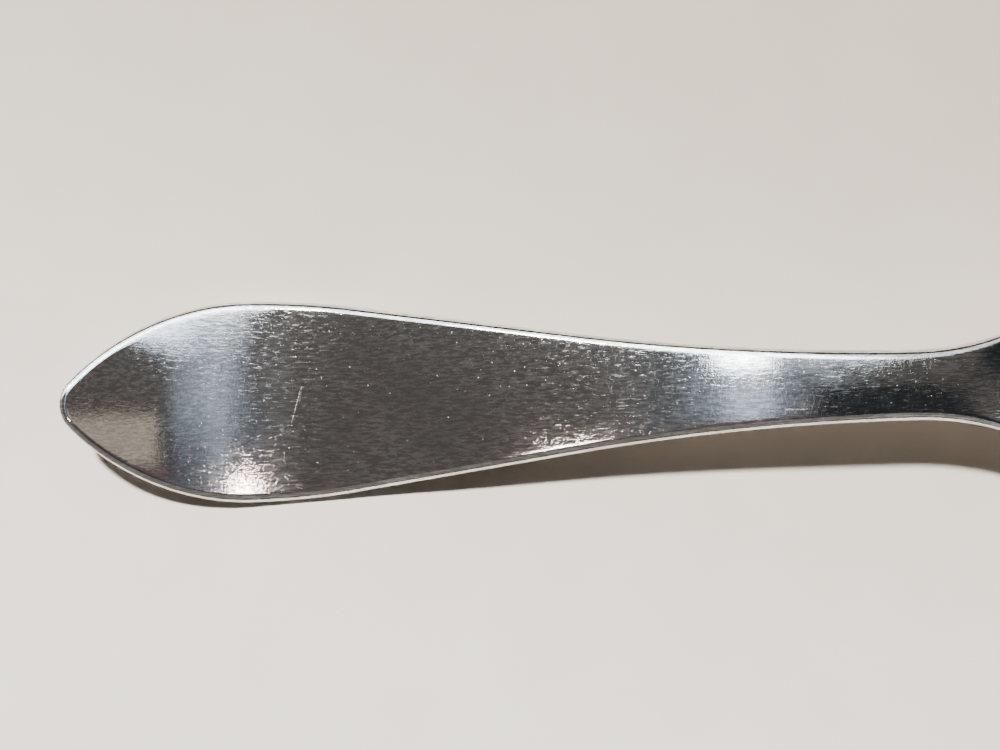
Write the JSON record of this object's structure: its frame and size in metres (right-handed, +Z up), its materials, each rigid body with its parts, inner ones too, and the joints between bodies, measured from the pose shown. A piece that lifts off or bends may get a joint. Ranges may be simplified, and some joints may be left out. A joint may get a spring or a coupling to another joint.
{
  "type": "honey spoon",
  "caption": "One-piece polished silver honey spoon with a leaf-shaped handle, a narrow neck and an egg-shaped bowl.",
  "frame": {"origin": "under the middle of the spoon's length, on the table that it rests on", "axes": "+X from the tip of the handle to the lip of the bowl, +Y across, +Z up"},
  "size_m": [0.1417, 0.0318, 0.0091],
  "materials": {
    "silver": "polished silver with fine lengthwise brushing, hair scratches and small nicks"
  },
  "bodies": {
    "root": {"honey_spoon": "silver"}
  },
  "joints": []
}
